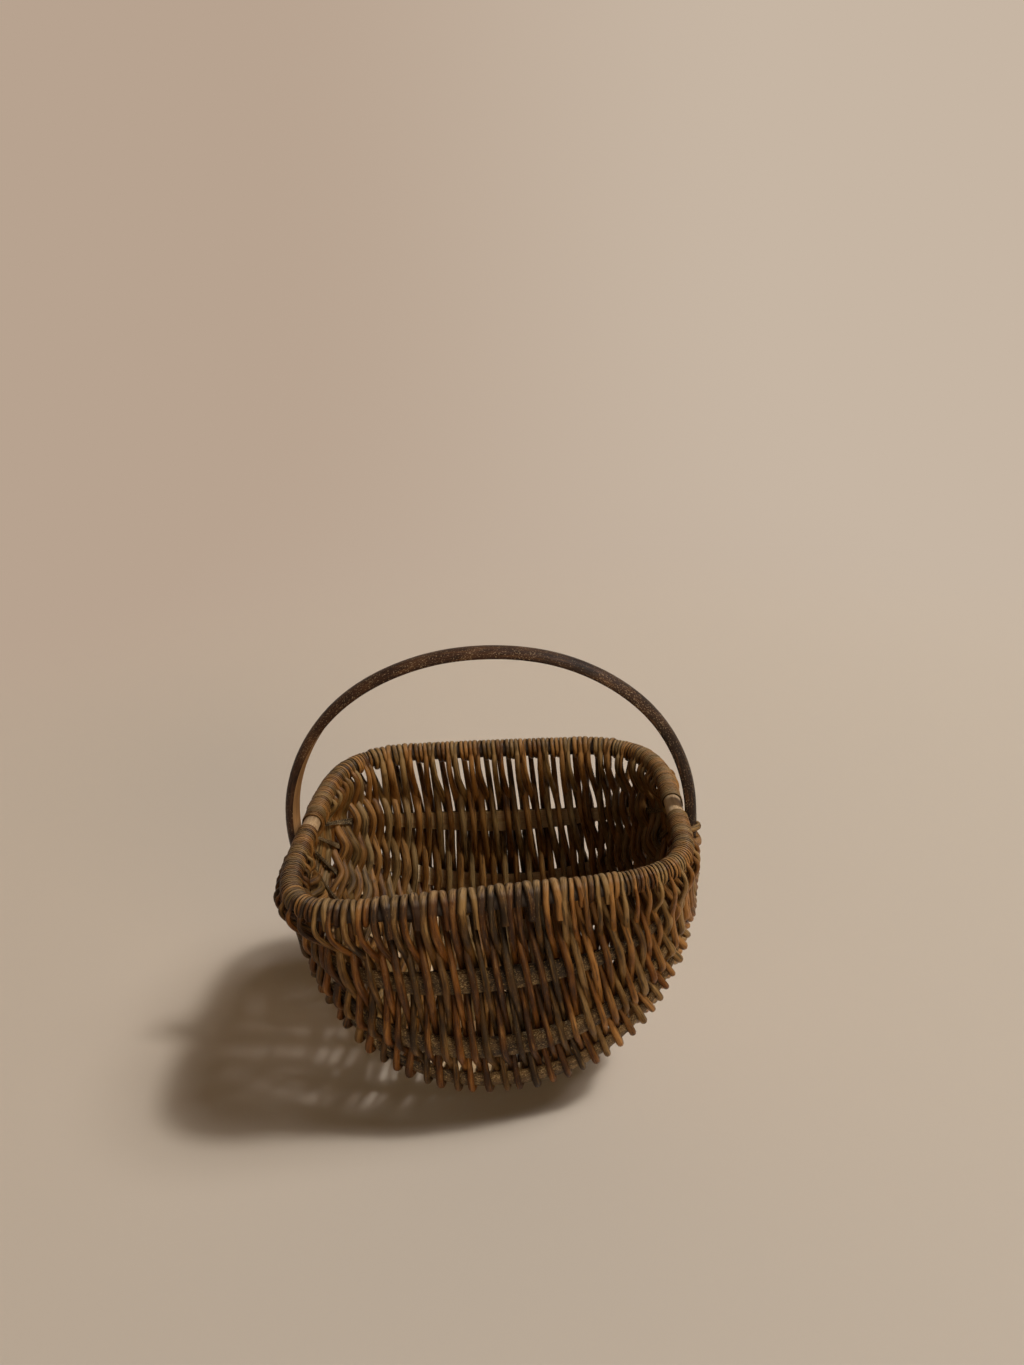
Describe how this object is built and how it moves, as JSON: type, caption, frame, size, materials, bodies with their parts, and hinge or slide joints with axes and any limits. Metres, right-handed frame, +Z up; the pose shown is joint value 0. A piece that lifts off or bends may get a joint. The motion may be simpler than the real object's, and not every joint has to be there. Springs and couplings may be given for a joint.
{
  "type": "melon basket",
  "caption": "Woven melon basket: a rounded oblong bowl of willow rods over split ribs, with a wrapped rim and a fixed bent hoop handle.",
  "frame": {"origin": "on the ground, under the middle of the basket's box", "axes": "+Z up, the front looks along -Y, the handle joints lie along X"},
  "size_m": [0.3238, 0.2682, 0.3474],
  "materials": {
    "handle_bark": "bark left on, satin",
    "rim_wood": "peeled, dull",
    "rib_bark": "split, bark outside, dull",
    "willow_1": "unpeeled willow, satin",
    "willow_2": "unpeeled willow, satin",
    "willow_3": "unpeeled willow, satin",
    "willow_4": "unpeeled willow, satin",
    "willow_5": "unpeeled willow, satin"
  },
  "bodies": {
    "root": {"handle_hoop": "handle_bark", "rim_hoop": "rim_wood", "rib_front_1": "rib_bark", "rib_front_2": "rib_bark", "rib_front_3": "rib_bark", "rib_front_4": "rib_bark", "rib_back_1": "rib_bark", "rib_back_2": "rib_bark", "rib_back_3": "rib_bark", "rib_back_4": "rib_bark", "rod_01": "willow_1", "rod_02": "willow_2", "rod_03": "willow_3", "rod_04": "willow_4", "rod_05": "willow_5", "rod_06": "willow_1", "rod_07": "willow_2", "rod_08": "willow_3", "rod_09": "willow_4", "rod_10": "willow_5", "rod_11": "willow_1", "rod_12": "willow_2", "rod_13": "willow_3", "rod_14": "willow_4", "rod_15": "willow_5", "rod_16": "willow_1", "rod_17": "willow_2", "rod_18": "willow_3", "rod_19": "willow_4", "rod_20": "willow_5", "rod_21": "willow_1", "rod_22": "willow_2", "rod_23": "willow_3", "rod_24": "willow_4", "rod_25": "willow_5", "rod_26": "willow_1", "rod_27": "willow_2", "rod_28": "willow_3", "rod_29": "willow_4", "rod_30": "willow_5", "rod_31": "willow_1", "rod_32": "willow_2", "rod_33": "willow_3", "rod_34": "willow_4", "rod_35": "willow_5", "rod_36": "willow_1", "rod_37": "willow_2", "rod_38": "willow_3", "rod_39": "willow_4", "rod_40": "willow_5", "rod_41": "willow_1", "rod_42": "willow_2", "rod_43": "willow_3", "rod_44": "willow_4", "rod_45": "willow_5", "rod_46": "willow_1", "rod_47": "willow_2", "rod_48": "willow_3", "rod_49": "willow_4", "rod_50": "willow_5"}
  },
  "joints": []
}
